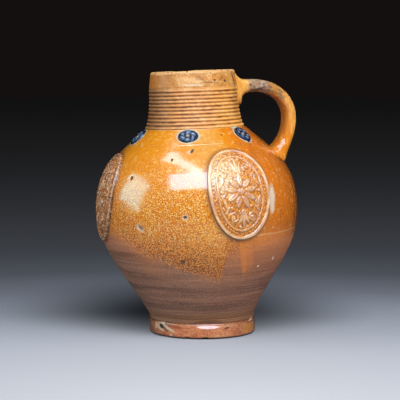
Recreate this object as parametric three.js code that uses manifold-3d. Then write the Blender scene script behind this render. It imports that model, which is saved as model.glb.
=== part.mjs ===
// A salt-glazed stoneware jug: a wheel-thrown body with a ribbed neck, a pulled strap handle,
// three moulded oval medallions round the belly and five stamped rosettes on the shoulder.
// Every applied piece is its own solid, luted to the body across a thin seat of slip.
// Millimetres, +Z up. The origin is the middle of the flat base, and the handle points along +X.

import * as THREE from "three";
import { mergeVertices } from "three/addons/utils/BufferGeometryUtils.js";
import Module from "manifold-3d";

const wasm = await Module();
wasm.setup();

// Body, outside.
const jugHeight = 242; // base to lip, on the axis
const footRadius = 49;
const footHeight = 14;
const footRounding = 2.4; // under the foot band
const footShoulder = 1.2; // rounding over the foot band
const waistRadius = 48.2;
const waistLength = 4; // from the foot band up to where the wall starts to flare
const waistFlare = 28.5; // lean of the wall out of the waist, in degrees from upright
const waistPull = 48; // how far that lean holds on its way to the belly
const bellyRadius = 92.4;
const bellyHeight = 114;
const bellyPullDown = 36; // how far the belly holds upright below its widest line
const bellyPullUp = 32; // and above it
const shoulderRadius = 66;
const shoulderDrop = 17.2; // from the neck's foot down to where the slope turns into the belly
const shoulderPull = 18; // how far the shoulder's slope runs on into the belly
const incisedRise = 6.2; // from there up the slope to the incised line
const incisedDepth = 0.6;
const incisedWidth = 1.6;

// Neck.
const neckLength = 52; // neck's foot to lip
const neckFootRadius = 46.2;
const neckRadius = 40; // in the grooves, where the neck runs straight
const neckSweep = 9; // height of the hollow curve at the neck's foot
const rimRadius = 38.8;
const rimBand = 15.5; // plain band between the ribs and the lip
const lipRounding = 2.1;
const ribCount = 11;
const ribDepth = 0.9;

// Body, inside.
const wall = 6;
const neckWall = 4.8;
const baseThickness = 9;

// Handle.
const handleWidth = 25; // round the jug, at the neck
const handleNarrowing = 5; // width lost by the shoulder
const handleThickness = 11.2;
const handleReach = 92.2; // axis of the jug to the middle of the strap, at its furthest
const handleReachDrop = 46; // lip down to that furthest point
const handleRootDrop = 20; // lip down to the middle of the upper root
const handleRootPull = 35; // how far the strap runs straight out of the neck
const handleCrown = 12.5; // and how much it rises on the way
const handleBrowPull = 21; // straight stretch above the furthest point
const handleCalfPull = 17; // and below it
const handleTailPull = 15; // straight stretch out of the lower root
const handleTailAngle = 37; // lean of that stretch, in degrees from upright
const handleTailDrop = 16; // shoulder line down to the middle of the lower root
const upperFlare = 5; // clay added round the strap at the neck
const lowerFlare = 4; // and at the shoulder
const flareLength = 18;
const rootDepth = 6; // how far the strap's ends run into the clay before they are trimmed to it
const strapSquareness = 2.7; // exponent of the strap's section: 2 is an oval

// Medallions, luted on by hand: their bearings are degrees round from the handle.
const medallionWidth = 60.5;
const medallionHeight = 85;
const medallionBearings = [80, 179, 279];
const medallionGaps = [13.1, 14.6, 11.6]; // rosettes' lower edge down the wall to each medallion's top
const plaqueThickness = 1.1;
const ridgeHeight = 2.2; // outer ridge above the belly
const ridgeWidth = 3.4;
const innerRidgeInset = 7.2;
const innerRidgeHeight = 1.8;
const innerRidgeWidth = 2.2;
const flowerPetals = 9;
const flowerWidth = 30;
const flowerHeight = 2.3;

// Rosettes, stamped by hand: the place under the handle stays empty.
const rosetteWidth = 19.5;
const rosetteHeight = 16.4; // along the slope
const rosetteBearings = [67, 125, 181, 247, 306.5];
const rosetteUpright = [false, false, true, false, true]; // pressed on with the long side down the slope
const rosetteGap = 0.5; // neck's foot down the slope to the rosettes' upper edge
const rosetteEdge = 1;
const rosettePetals = 6;
const rosetteRelief = 1.1;

// The jug stands level and leans away from its handle.
const leanAngle = 2.3; // degrees
const leanStart = 40; // height by which the whole lean is reached

// Slip between an applied piece and the body.
const seat = 0.3;

// Facets.
const bodySegments = 42;
const curveSteps = 8;
const arcSteps = 2;
const ribSteps = 3;
const medallionSegments = 36;
const rosetteSegments = 24;
const strapSides = 20;
const strapSteps = 24;
const backStep = 7; // most that lies between two rings of an applied piece's back

const glaze = new THREE.MeshStandardMaterial({ color: 0xc47a2c, roughness: 0.28, metalness: 0 });
const handleGlaze = new THREE.MeshStandardMaterial({ color: 0xc8843a, roughness: 0.3, metalness: 0 });
const reliefGlaze = new THREE.MeshStandardMaterial({ color: 0xcb9156, roughness: 0.32, metalness: 0 });
const cobalt = new THREE.MeshStandardMaterial({ color: 0x33508c, roughness: 0.25, metalness: 0 });

const radians = THREE.MathUtils.degToRad;
const smoothstep = THREE.MathUtils.smoothstep;

// A point of the body's profile.
const at = (radius, height) => new THREE.Vector2(radius, height);

const waistHeight = footHeight + waistLength;
const neckFootHeight = jugHeight - neckLength;
const ribbedTop = jugHeight - rimBand;
const shoulderHeight = neckFootHeight - shoulderDrop;

// The wall from waist to neck: up to the belly, over to the shoulder line, up the slope.
const waist = at(waistRadius, waistHeight);
const belly = at(bellyRadius, bellyHeight);
const shoulder = at(shoulderRadius, shoulderHeight);
const neckFoot = at(neckFootRadius, neckFootHeight);
const flareOut = at(Math.tan(radians(waistFlare)), 1).setLength(waistPull);
const slopeDown = shoulder.clone().sub(neckFoot).setLength(shoulderPull);
const lowerWall = new THREE.CubicBezierCurve(
  waist,
  waist.clone().add(flareOut),
  belly.clone().sub(at(0, bellyPullDown)),
  belly,
);
const upperWall = new THREE.CubicBezierCurve(
  belly,
  belly.clone().add(at(0, bellyPullUp)),
  shoulder.clone().add(slopeDown),
  shoulder,
);
const slope = new THREE.LineCurve(shoulder, neckFoot);
const wallPath = new THREE.CurvePath();
[lowerWall, upperWall, slope].forEach((curve) => wallPath.add(curve));

function quarterRound(radius, height, rounding, fromDegrees) {
  const start = radians(fromDegrees);
  const end = radians(fromDegrees + 90);
  return new THREE.EllipseCurve(radius, height, rounding, rounding, start, end).getPoints(arcSteps);
}

function footProfile() {
  return [
    at(0, 0),
    ...quarterRound(footRadius - footRounding, footRounding, footRounding, -90),
    ...quarterRound(footRadius - footShoulder, footHeight - footShoulder, footShoulder, 0),
  ];
}

// The incised line is a shallow notch on the slope.
function wallProfile() {
  const upSlope = (distance) => slope.getPointAt(distance / slope.getLength());
  const half = incisedWidth / 2;
  return [
    ...lowerWall.getSpacedPoints(curveSteps),
    ...upperWall.getSpacedPoints(curveSteps).slice(1),
    upSlope(incisedRise - half),
    upSlope(incisedRise).add(at(-1, -1).setLength(incisedDepth)),
    upSlope(incisedRise + half),
    neckFoot,
  ];
}

// The neck rises out of the slope in a hollow curve, and each rib swells between two grooves.
function neckProfile() {
  const grooves = new THREE.QuadraticBezierCurve(
    at(neckFootRadius - ribDepth, neckFootHeight),
    at(neckRadius, neckFootHeight + neckSweep),
    at(neckRadius, ribbedTop),
  );
  return grooves.getSpacedPoints(ribCount * ribSteps).map((point, step) => {
    const swell = Math.sin((Math.PI * (step % ribSteps)) / ribSteps);
    return point.add(at(ribDepth * swell, 0));
  });
}

function lipProfile() {
  const middle = jugHeight - lipRounding;
  const inside = rimRadius - neckWall + lipRounding;
  return [
    at(neckRadius + ribDepth / 2, ribbedTop + ribDepth),
    ...quarterRound(rimRadius - lipRounding, middle, lipRounding, 0),
    ...quarterRound(inside, middle, lipRounding, 90),
  ];
}

// A stretch of the wall moved sideways into the clay by the wall's thickness.
function insideOf(curve) {
  const points = [];
  for (let step = 0; step <= curveSteps; step++) {
    const tangent = curve.getTangentAt(step / curveSteps);
    const inward = at(-tangent.y, tangent.x).multiplyScalar(wall);
    points.push(curve.getPointAt(step / curveSteps).add(inward));
  }
  return points;
}

// Down the inside of the neck, round the belly and in to the middle of the floor.
function innerProfile() {
  const aboveFloor = (point) => point.y > baseThickness + wall;
  const rising = [...insideOf(lowerWall).filter(aboveFloor), ...insideOf(upperWall).slice(1)];
  const floorRadius = rising[0].x - wall;
  return [
    at(neckRadius - neckWall, neckFootHeight),
    ...rising.reverse(),
    at(floorRadius, baseThickness),
    at(0, baseThickness),
  ];
}

const outerProfile = [...footProfile(), ...wallProfile(), ...neckProfile(), ...lipProfile()];

function turned(profile) {
  return new THREE.LatheGeometry(profile, bodySegments).rotateX(Math.PI / 2);
}

// Closed rings of equally many points, skinned in order, with a fan over each end.
function skin(rings) {
  const sides = rings[0].length;
  const last = (rings.length - 1) * sides;
  const centre = (ring) => ring.reduce((sum, p) => sum.add(p), new THREE.Vector3()).divideScalar(sides);
  const points = [...rings.flat(), centre(rings[0]), centre(rings.at(-1))];
  const faces = [];
  for (let side = 0; side < sides; side++) {
    const next = (side + 1) % sides;
    for (let low = 0; low < last; low += sides) {
      const [a, b, c, d] = [low + side, low + next, low + sides + next, low + sides + side];
      const shorter = points[a].distanceTo(points[c]) > points[b].distanceTo(points[d]);
      faces.push(...(shorter ? [a, b, d, b, c, d] : [a, b, c, a, c, d]));
    }
    faces.push(points.length - 2, next, side);
    faces.push(points.length - 1, last + side, last + next);
  }
  return new THREE.BufferGeometry().setFromPoints(points).setIndex(faces);
}

function solidOf(geometry) {
  const bare = geometry.clone();
  bare.deleteAttribute("normal");
  bare.deleteAttribute("uv");
  const merged = mergeVertices(bare);
  const vertProperties = merged.attributes.position.array;
  const triVerts = new Uint32Array(merged.index.array);
  return new wasm.Manifold(new wasm.Mesh({ numProp: 3, vertProperties, triVerts }));
}

function geometryOf(solid) {
  const mesh = solid.getMesh();
  return new THREE.BufferGeometry()
    .setAttribute("position", new THREE.BufferAttribute(mesh.vertProperties, 3))
    .setIndex(new THREE.BufferAttribute(mesh.triVerts, 1));
}

// Distance along the wall, from the waist up to a height.
function wallDistance(height) {
  const steps = 400;
  const heights = wallPath.getSpacedPoints(steps).map((point) => point.y);
  const step = heights.findIndex((reached) => reached >= height);
  return (step / steps) * wallPath.getLength();
}

// A place over the wall: a distance up it, a distance round it from a bearing, a height above it.
function overWall(distance, bearing, round, height) {
  const share = distance / wallPath.getLength();
  const point = wallPath.getPoint(share);
  const tangent = wallPath.getTangent(share);
  const angle = radians(bearing) + round / point.x;
  const radius = point.x + tangent.y * height;
  const level = point.y - tangent.x * height;
  return new THREE.Vector3(radius * Math.cos(angle), radius * Math.sin(angle), level);
}

// The body's outside as a filled solid, grown by the seat, that the handle's roots are trimmed to.
function seatSolid() {
  const grown = outerProfile.map((point, i) => {
    const before = outerProfile[Math.max(i - 1, 0)];
    const after = outerProfile[Math.min(i + 1, outerProfile.length - 1)];
    const along = after.clone().sub(before).setLength(seat);
    return point.clone().add(at(along.y, -along.x));
  });
  return solidOf(turned([at(0, -seat), ...grown.slice(1), at(0, grown.at(-1).y)]));
}

// The strap's middle line leaves the neck, turns over at its reach and drops on to the shoulder.
function strapPath() {
  const tailHeight = shoulderHeight - handleTailDrop;
  const tailRadius = wallPath.getPoint(wallDistance(tailHeight) / wallPath.getLength()).x;
  const root = at(neckRadius - rootDepth, jugHeight - handleRootDrop);
  const reach = at(handleReach, jugHeight - handleReachDrop);
  const tail = at(tailRadius - rootDepth, tailHeight);
  const crown = root.clone().add(at(handleRootPull, handleCrown));
  const brow = reach.clone().add(at(0, handleBrowPull));
  const calf = reach.clone().sub(at(0, handleCalfPull));
  const lift = at(Math.tan(radians(handleTailAngle)), 1).setLength(handleTailPull);
  const path = new THREE.CurvePath();
  path.add(new THREE.CubicBezierCurve(root, crown, brow, reach));
  path.add(new THREE.CubicBezierCurve(reach, calf, tail.clone().add(lift), tail));
  return path;
}

// The strap's section across its path: width runs round the jug, thickness in the path's plane.
function strapSection(middle, tangent, width, thickness) {
  const squared = (value) => Math.sign(value) * Math.abs(value) ** (2 / strapSquareness);
  const ring = [];
  for (let side = 0; side < strapSides; side++) {
    const turn = (2 * Math.PI * side) / strapSides;
    const across = (squared(Math.cos(turn)) * width) / 2;
    const out = (squared(Math.sin(turn)) * thickness) / 2;
    ring.push(new THREE.Vector3(middle.x - tangent.y * out, across, middle.y + tangent.x * out));
  }
  return ring;
}

function handleGeometry() {
  const path = strapPath();
  const length = path.getLength();
  const flareAt = (distance) => 1 - smoothstep(distance, rootDepth, rootDepth + flareLength);
  const rings = [];
  for (let step = 0; step <= strapSteps; step++) {
    const share = step / strapSteps;
    const distance = share * length;
    const flare = upperFlare * flareAt(distance) + lowerFlare * flareAt(length - distance);
    const width = handleWidth - handleNarrowing * share + flare;
    const thickness = handleThickness + flare;
    rings.push(strapSection(path.getPoint(share), path.getTangent(share), width, thickness));
  }
  return geometryOf(solidOf(skin(rings)).subtract(seatSolid()));
}

// An oval laid on the wall. Each of its rings has half axes and a height above the wall at each turn.
function laidOval(distance, bearing, sides, rings) {
  const laid = rings.map(({ halfWidth, halfHeight, relief }) => {
    const ring = [];
    for (let side = 0; side < sides; side++) {
      const turn = (2 * Math.PI * side) / sides;
      const round = halfWidth * Math.cos(turn);
      const up = halfHeight * Math.sin(turn);
      ring.push(overWall(distance + up, bearing, round, relief(turn)));
    }
    return ring;
  });
  return skin(laid);
}

const flat = (height) => () => height;

// The back follows the wall across the seat, in rings that open from the oval's middle.
function ovalBack(width, height) {
  const count = Math.ceil(height / 2 / backStep);
  const rings = [];
  for (let ring = 1; ring <= count; ring++) {
    const share = ring / count / 2;
    rings.push({ halfWidth: share * width, halfHeight: share * height, relief: flat(seat) });
  }
  return rings;
}

// A ridge that runs round inside a medallion's edge: foot, crest, crest, foot.
function ridge(inset, width, crest) {
  const ring = (across, height) => ({
    halfWidth: medallionWidth / 2 - inset - across,
    halfHeight: medallionHeight / 2 - inset - across,
    relief: flat(height),
  });
  const side = width / 4;
  return [
    ring(0, plaqueThickness),
    ring(side, crest),
    ring(width - side, crest),
    ring(width, plaqueThickness),
  ];
}

// A flower of round petals about a boss.
function flower(width, height, foot, top, petals) {
  const ring = (share, relief) => ({
    halfWidth: (share * width) / 2,
    halfHeight: (share * height) / 2,
    relief,
  });
  const petal = (rise) => (turn) => foot + (top - foot) * rise * Math.abs(Math.cos((petals * turn) / 2));
  return [
    ring(1, flat(foot)),
    ring(0.85, petal(0.75)),
    ring(0.55, petal(1)),
    ring(0.32, flat(foot)),
    ring(0.22, flat(top)),
  ];
}

// Both rows hang down the wall from the neck's foot: the rosettes, then the medallions.
const rosetteTop = wallPath.getLength() - rosetteGap;

function medallionGeometry(bearing, gap) {
  const middle = rosetteTop - rosetteHeight - gap - medallionHeight / 2;
  return laidOval(middle, bearing, medallionSegments, [
    ...ovalBack(medallionWidth, medallionHeight),
    ...ridge(0, ridgeWidth, ridgeHeight),
    ...ridge(innerRidgeInset, innerRidgeWidth, innerRidgeHeight),
    ...flower(flowerWidth, flowerWidth, plaqueThickness, flowerHeight, flowerPetals),
  ]);
}

function rosetteGeometry(bearing, upright) {
  const width = upright ? rosetteHeight : rosetteWidth;
  const height = upright ? rosetteWidth : rosetteHeight;
  const top = rosetteEdge + rosetteRelief;
  return laidOval(rosetteTop - height / 2, bearing, rosetteSegments, [
    ...ovalBack(width, height),
    ...flower(width, height, rosetteEdge, top, rosettePetals),
  ]);
}

// Each level turns up on the handle's side as it slides away from the handle.
function leanOver(geometry) {
  const position = geometry.attributes.position;
  const slide = Math.tan(radians(leanAngle));
  for (let i = 0; i < position.count; i++) {
    const x = position.getX(i);
    const z = position.getZ(i);
    const tilt = radians(leanAngle) * smoothstep(z, 0, leanStart);
    position.setX(i, x * Math.cos(tilt) - z * slide);
    position.setZ(i, z + x * Math.sin(tilt));
  }
  return geometry;
}

const jug = new THREE.Group();
jug.name = "jug";

function addPiece(name, geometry, material) {
  const piece = new THREE.Mesh(leanOver(geometry), material);
  piece.name = name;
  piece.geometry.computeVertexNormals();
  jug.add(piece);
}

addPiece("body", turned([...outerProfile, ...innerProfile()]), glaze);
addPiece("handle", handleGeometry(), handleGlaze);
medallionBearings.forEach((bearing, i) => {
  addPiece(`medallion_${i + 1}`, medallionGeometry(bearing, medallionGaps[i]), reliefGlaze);
});
rosetteBearings.forEach((bearing, i) => {
  addPiece(`rosette_${i + 1}`, rosetteGeometry(bearing, rosetteUpright[i]), cobalt);
});

export default jug;
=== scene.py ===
import math
from types import SimpleNamespace

import bpy
import numpy as np
from mathutils import Euler, Matrix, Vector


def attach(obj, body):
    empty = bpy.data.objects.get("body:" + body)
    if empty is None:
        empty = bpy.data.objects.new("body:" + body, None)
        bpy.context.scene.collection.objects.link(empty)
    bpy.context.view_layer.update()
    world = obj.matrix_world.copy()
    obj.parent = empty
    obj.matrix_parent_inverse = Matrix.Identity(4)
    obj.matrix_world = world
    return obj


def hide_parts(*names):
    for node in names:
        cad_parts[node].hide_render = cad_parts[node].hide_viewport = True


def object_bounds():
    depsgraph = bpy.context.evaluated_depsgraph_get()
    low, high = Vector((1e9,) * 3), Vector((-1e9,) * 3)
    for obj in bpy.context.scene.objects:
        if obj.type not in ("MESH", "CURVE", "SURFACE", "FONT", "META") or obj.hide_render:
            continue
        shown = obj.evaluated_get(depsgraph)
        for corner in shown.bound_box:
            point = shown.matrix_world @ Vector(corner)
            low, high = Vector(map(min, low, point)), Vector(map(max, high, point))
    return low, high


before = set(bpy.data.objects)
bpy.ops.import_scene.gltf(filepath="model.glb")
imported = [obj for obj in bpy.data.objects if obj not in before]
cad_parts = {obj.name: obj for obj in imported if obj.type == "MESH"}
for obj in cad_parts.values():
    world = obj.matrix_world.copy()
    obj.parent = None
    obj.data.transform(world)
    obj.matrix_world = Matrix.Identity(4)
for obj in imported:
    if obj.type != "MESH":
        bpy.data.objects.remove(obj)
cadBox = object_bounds()
scene = bpy.context.scene
scene.view_settings.view_transform = "Standard"
mm = 0.001
boxMargin = 5e-5  # how far the pieces stay inside the solids' box, in metres
boxLow = np.array(cadBox[0]) + [boxMargin, boxMargin, 0]
boxHigh = np.array(cadBox[1]) - boxMargin
print("frame loaded:", sorted(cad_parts))


def show(name, data):
    piece = bpy.data.objects.new(name, data)
    scene.collection.objects.link(piece)
    return piece


# camera, at the photograph's angle
cameraPlace = {
    "azimuth": -16.5, "distance": 1.364, "height": 0.236, "sideways": -0.0023, "tilt": 4.76, "lens": 132.66,
}

azimuth = math.radians(cameraPlace["azimuth"])
camera = show("camera", bpy.data.cameras.new("camera"))
camera.data.lens = cameraPlace["lens"]
camera.location = (
    math.sin(azimuth) * cameraPlace["distance"] + math.cos(azimuth) * cameraPlace["sideways"],
    -math.cos(azimuth) * cameraPlace["distance"] + math.sin(azimuth) * cameraPlace["sideways"],
    cameraPlace["height"],
)
camera.rotation_euler = (math.radians(90 - cameraPlace["tilt"]), 0, azimuth)
scene.camera = camera


# node helpers: a flow is a node's output that can be added, multiplied and so on like a number
class Flow:
    def __init__(self, tree, socket):
        self.tree = tree
        self.socket = socket

    def __add__(self, other):
        return calc("ADD", self, other)

    def __radd__(self, other):
        return calc("ADD", other, self)

    def __sub__(self, other):
        return calc("SUBTRACT", self, other)

    def __rsub__(self, other):
        return calc("SUBTRACT", other, self)

    def __mul__(self, other):
        return calc("MULTIPLY", self, other)

    def __truediv__(self, other):
        return calc("DIVIDE", self, other)

    def __rtruediv__(self, other):
        return calc("DIVIDE", other, self)


def treeOf(*values):
    return next(value.tree for value in values if isinstance(value, Flow))


def flows(tree, sockets):
    return {socket.name: Flow(tree, socket) for socket in sockets if socket.name}


def wire(value, socket):
    if isinstance(value, Flow):
        value.tree.links.new(value.socket, socket)
    else:
        socket.default_value = value


def put(tree, kind, wires=None, out=0, **settings):  # gives the output named, or all of them for None
    node = tree.nodes.new(kind)
    for name, value in settings.items():
        setattr(node, name, value)
    for key, value in (wires or {}).items():
        wire(value, node.inputs[key])
    return flows(tree, node.outputs) if out is None else Flow(tree, node.outputs[out])


def calc(operation, *values):
    return put(treeOf(*values), "ShaderNodeMath", dict(enumerate(values)), operation=operation)


def vectorCalc(operation, *values):
    out = "Value" if operation == "LENGTH" else 0
    return put(treeOf(*values), "ShaderNodeVectorMath", dict(enumerate(values)), out, operation=operation)


def split(vector):
    return tuple(put(vector.tree, "ShaderNodeSeparateXYZ", {"Vector": vector}, None).values())


def join(x, y, z=0.0):
    return put(treeOf(x, y, z), "ShaderNodeCombineXYZ", {"X": x, "Y": y, "Z": z})


def turned(vector, angle, axis):
    wires = {"Vector": vector, "Angle": angle}
    return put(vector.tree, "ShaderNodeVectorRotate", wires, rotation_type=axis + "_AXIS")


def ramp(value, low, high, toLow=0.0, toHigh=1.0, smooth=False):
    wires = {"Value": value, "From Min": low, "From Max": high, "To Min": toLow, "To Max": toHigh}
    style = "SMOOTHSTEP" if smooth else "LINEAR"
    return put(value.tree, "ShaderNodeMapRange", wires, "Result", interpolation_type=style)


def noise(vector, scale, detail, roughness=0.5):
    wires = {"Vector": vector, "Scale": scale, "Detail": detail, "Roughness": roughness}
    return put(vector.tree, "ShaderNodeTexNoise", wires)


def drawnNoise(place, around, up, detail, roughness=0.5):  # noise drawn out round the jug or down it
    return noise(vectorCalc("MULTIPLY", place, (around, around, up)), 1.0, detail, roughness)


def mix(share, below, above, kind="MIX"):
    wires = {0: share, 6: below, 7: above}
    return put(treeOf(share, below, above), "ShaderNodeMix", wires, 2, data_type="RGBA", blend_type=kind)


def paint(red, green, blue):  # a colour as it shows on a screen
    def linear(value):
        value /= 255
        return value / 12.92 if value <= 0.04045 else ((value + 0.055) / 1.055) ** 2.4

    return (linear(red), linear(green), linear(blue), 1.0)


def tints(finish):
    return {name: paint(*colour) for name, colour in finish.items()}


# lay coats on a colour: each is a tint and its share, or a tint, a value,
# where the value sets in, where it is full, and the share of the tint there
def coated(colour, tint, coats):
    for name, value, *span in coats:
        share = ramp(value, span[0], span[1], 0.0, *span[2:]) if span else value
        colour = mix(share, colour, tint[name] if isinstance(name, str) else name)
    return colour


def newTree(name, **inputs):  # for each kind of socket, the names of its inputs
    tree = bpy.data.node_groups.new(name, "GeometryNodeTree")
    tree.interface.new_socket("Geometry", in_out="OUTPUT", socket_type="NodeSocketGeometry")
    for kind, labels in inputs.items():
        for label in labels.split():
            tree.interface.new_socket(label, in_out="INPUT", socket_type="NodeSocket" + kind.capitalize())
    return tree, SimpleNamespace(**flows(tree, tree.nodes.new("NodeGroupInput").outputs))


def keep(mesh, name, value):  # store a value that the material reads
    wires = {"Geometry": mesh, "Name": name, "Value": value}
    return put(mesh.tree, "GeometryNodeStoreNamedAttribute", wires, data_type="FLOAT", domain="POINT")


def moved(mesh, place):
    return put(mesh.tree, "GeometryNodeSetPosition", {"Geometry": mesh, "Position": place})


def merged(mesh, distance):
    return put(mesh.tree, "GeometryNodeMergeByDistance", {"Geometry": mesh, "Distance": distance})


def wrappedSheet(tree, rows, columns):  # a grid to be bent into a skin, and a point's row and turn on it
    wires = {"Size X": 1.0, "Size Y": 1.0, "Vertices X": rows, "Vertices Y": columns + 1.0}
    sheet = put(tree, "GeometryNodeMeshGrid", wires, "Mesh")
    x, y, _ = split(put(tree, "GeometryNodeInputPosition"))
    row = calc("ROUND", (x + 0.5) * (rows - 1.0))
    turn = (y + 0.5) * (2 * math.pi)
    return sheet, row, calc("COSINE", turn), calc("SINE", turn)


def endTree(mesh, material):
    tree = mesh.tree
    real = put(tree, "GeometryNodeRealizeInstances", {"Geometry": mesh})
    smooth = put(tree, "GeometryNodeSetShadeSmooth", {"Geometry": real})
    glazed = put(tree, "GeometryNodeSetMaterial", {"Geometry": smooth, "Material": material})
    wire(glazed, tree.nodes.new("NodeGroupOutput").inputs[0])
    return tree


def grow(name, tree, values):  # run a tree once and keep its plain mesh
    piece = show(name, bpy.data.meshes.new(name))
    modifier = piece.modifiers.new("make", "NODES")
    modifier.node_group = tree
    for item in tree.interface.items_tree:
        if item.in_out == "INPUT":
            value = values[item.name]
            modifier[item.identifier] = float(value) if item.socket_type == "NodeSocketFloat" else value
    depsgraph = bpy.context.evaluated_depsgraph_get()
    made = bpy.data.meshes.new_from_object(
        piece.evaluated_get(depsgraph), preserve_all_data_layers=True, depsgraph=depsgraph)
    piece.modifiers.remove(modifier)
    piece.data = made
    return piece


# mesh helpers
def pointsOf(mesh):
    flat = np.empty(len(mesh.vertices) * 3, np.float32)
    mesh.vertices.foreach_get("co", flat)
    return flat.reshape(-1, 3).astype(float)


def movePoints(mesh, points):
    mesh.vertices.foreach_set("co", np.asarray(points, np.float32).ravel())
    mesh.update()


def readValue(mesh, name):
    flat = np.empty(len(mesh.vertices), np.float32)
    mesh.attributes[name].data.foreach_get("value", flat)
    return flat.astype(float)


def writeValue(mesh, name, values):
    layer = mesh.attributes.get(name) or mesh.attributes.new(name, "FLOAT", "POINT")
    layer.data.foreach_set("value", np.asarray(values, np.float32))


def faceOutwards(mesh):
    mesh.calc_loop_triangles()
    corners = np.empty(len(mesh.loop_triangles) * 3, np.int32)
    mesh.loop_triangles.foreach_get("vertices", corners)
    a, b, c = pointsOf(mesh)[corners.reshape(-1, 3)].transpose(1, 0, 2)
    if np.einsum("ij,ij->", a, np.cross(b, c)) < 0:
        mesh.flip_normals()


def smoothStep(value, low, high):
    share = np.clip((value - low) / (high - low), 0, 1)
    return share * share * (3 - 2 * share)


def degreesFrom(at, bearing):
    return (bearing - at + 180) % 360 - 180


def bezier(points, count):
    share = np.linspace(0, 1, count)[:, None]
    layer = [np.array(point, float) for point in points]
    while len(layer) > 1:
        layer = [a * (1 - share) + b * share for a, b in zip(layer, layer[1:])]
    return layer[0]


def spaced(line, count):
    run = np.concatenate([[0], np.cumsum(np.hypot(*np.diff(line, axis=0).T))])
    at = np.linspace(0, run[-1], count)
    return np.stack([np.interp(at, run, line[:, 0]), np.interp(at, run, line[:, 1])], 1)


# the thrown wall, in millimetres; every piece is set out on it
wallSizes = {
    "jugHeight": 242, "footRadius": 49, "footHeight": 14, "footRounding": 2.4, "footShoulder": 1.2,
    "waistRadius": 48.2, "waistHeight": 18, "waistFlare": 28.5, "waistPull": 48,
    "bellyRadius": 92.4, "bellyHeight": 114, "bellyPullDown": 36, "bellyPullUp": 32,
    "shoulderRadius": 66, "shoulderHeight": 172.8, "shoulderPull": 18,
    "neckFootRadius": 46.2, "neckFootHeight": 190, "neckRadius": 40, "neckSweep": 9,
    "rimRadius": 38.8, "rimBand": 15.5, "lipRounding": 2.1, "wall": 6, "neckWall": 4.8, "baseThickness": 9,
    "leanAngle": 2.3, "leanStart": 40, "wallSteps": 900,
}
wall = SimpleNamespace(**wallSizes)
waist = np.array([wall.waistRadius, wall.waistHeight])
belly = np.array([wall.bellyRadius, wall.bellyHeight])
shoulder = np.array([wall.shoulderRadius, wall.shoulderHeight])
neckFoot = np.array([wall.neckFootRadius, wall.neckFootHeight])
ribbedTop = wall.jugHeight - wall.rimBand
flare = math.radians(wall.waistFlare)
flareOut = np.array([math.sin(flare), math.cos(flare)]) * wall.waistPull
slopeDown = (shoulder - neckFoot) / np.linalg.norm(shoulder - neckFoot)
slopePull = slopeDown * wall.shoulderPull
lowerWall = bezier([waist, waist + flareOut, belly - [0, wall.bellyPullDown], belly], 200)
upperWall = bezier([belly, belly + [0, wall.bellyPullUp], shoulder + slopePull, shoulder], 140)
wallLine = spaced(np.vstack([lowerWall, upperWall[1:], neckFoot[None]]), wall.wallSteps)
wallRun = np.linspace(0, np.hypot(*np.diff(wallLine, axis=0).T).sum(), wall.wallSteps)
wallTangent = np.gradient(wallLine, wallRun, axis=0)


def overWall(run, bearing, around, lift):  # up the wall, degrees from the handle, round it, off it
    radius, level = (np.interp(run, wallRun, wallLine[:, part]) for part in (0, 1))
    downward, outward = (np.interp(run, wallRun, wallTangent[:, part]) for part in (0, 1))
    angle = np.radians(bearing) + around / radius
    far = radius + outward * lift
    return np.stack([far * np.cos(angle), far * np.sin(angle), level - downward * lift], -1)


def leaned(points):  # the jug leans away from its handle; millimetres in, metres out
    x, y, z = np.asarray(points, float).T
    lean = math.radians(wall.leanAngle)
    tilt = lean * smoothStep(z, 0, wall.leanStart)
    slid = x * np.cos(tilt) - z * math.tan(lean)
    return np.clip(np.stack([slid, y, z + x * np.sin(tilt)], 1) * mm, boxLow, boxHigh)


def wallSpot(bearing, level):  # where a place on the outside ends up after the lean, in metres
    if level < wall.waistHeight:
        radius = wall.footRadius
    elif level > wall.neckFootHeight:
        radius = wall.neckRadius
    else:
        radius = np.interp(level, wallLine[:, 1], wallLine[:, 0])
    angle = math.radians(bearing)
    return tuple(leaned([[radius * math.cos(angle), radius * math.sin(angle), level]])[0])


def rosetteSize(order):
    width, height = rosetteShape["width"], rosetteShape["height"]
    return (height, width) if order in rosetteShape["upright"] else (width, height)


def rosetteMiddle(order):  # along the wall
    return wallRun[-1] - rosetteShape["gap"] - rosetteSize(order)[1] / 2


def medallionMiddle(order):
    underRosettes = wallRun[-1] - rosetteShape["gap"] - rosetteShape["height"]
    return underRosettes - medallionShape["gaps"][order] - medallionShape["height"] / 2


# glaze effects that several finishes share
def shaderGroup(name, inputs, outputs):  # inputs: a number, or None for a place
    tree = bpy.data.node_groups.new(name, "ShaderNodeTree")
    for label, value in inputs.items():
        kind = "NodeSocketVector" if value is None else "NodeSocketFloat"
        socket = tree.interface.new_socket(label, in_out="INPUT", socket_type=kind)
        if value is not None:
            socket.default_value = value
    for label in outputs.split():
        tree.interface.new_socket(label, in_out="OUTPUT", socket_type="NodeSocketFloat")
    given = SimpleNamespace(**flows(tree, tree.nodes.new("NodeGroupInput").outputs))
    return tree, given, tree.nodes.new("NodeGroupOutput").inputs


def saltGrainGroup():  # the orange peel of a salt glaze: pale beads in a brown net
    tree, given, out = shaderGroup(
        "saltGrain", {"vector": None, "scale": 600.0, "uneven": 0.5}, "bead net speck height")
    wires = {"Vector": given.vector, "Scale": given.scale, "Randomness": 0.85}
    cells = put(tree, "ShaderNodeTexVoronoi", wires, None)
    tone = put(tree, "ShaderNodeSeparateColor", {"Color": cells["Color"]}, "Red")
    bead = ramp(cells["Distance"], 0.5, 0.12, smooth=True)
    wire(bead * (1.0 - tone * given.uneven), out["bead"])
    wire(ramp(cells["Distance"], 0.3, 0.62, smooth=True), out["net"])
    wire(noise(given.vector, given.scale * 1.2, 1.0), out["speck"])
    wire(bead, out["height"])
    return tree


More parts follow.
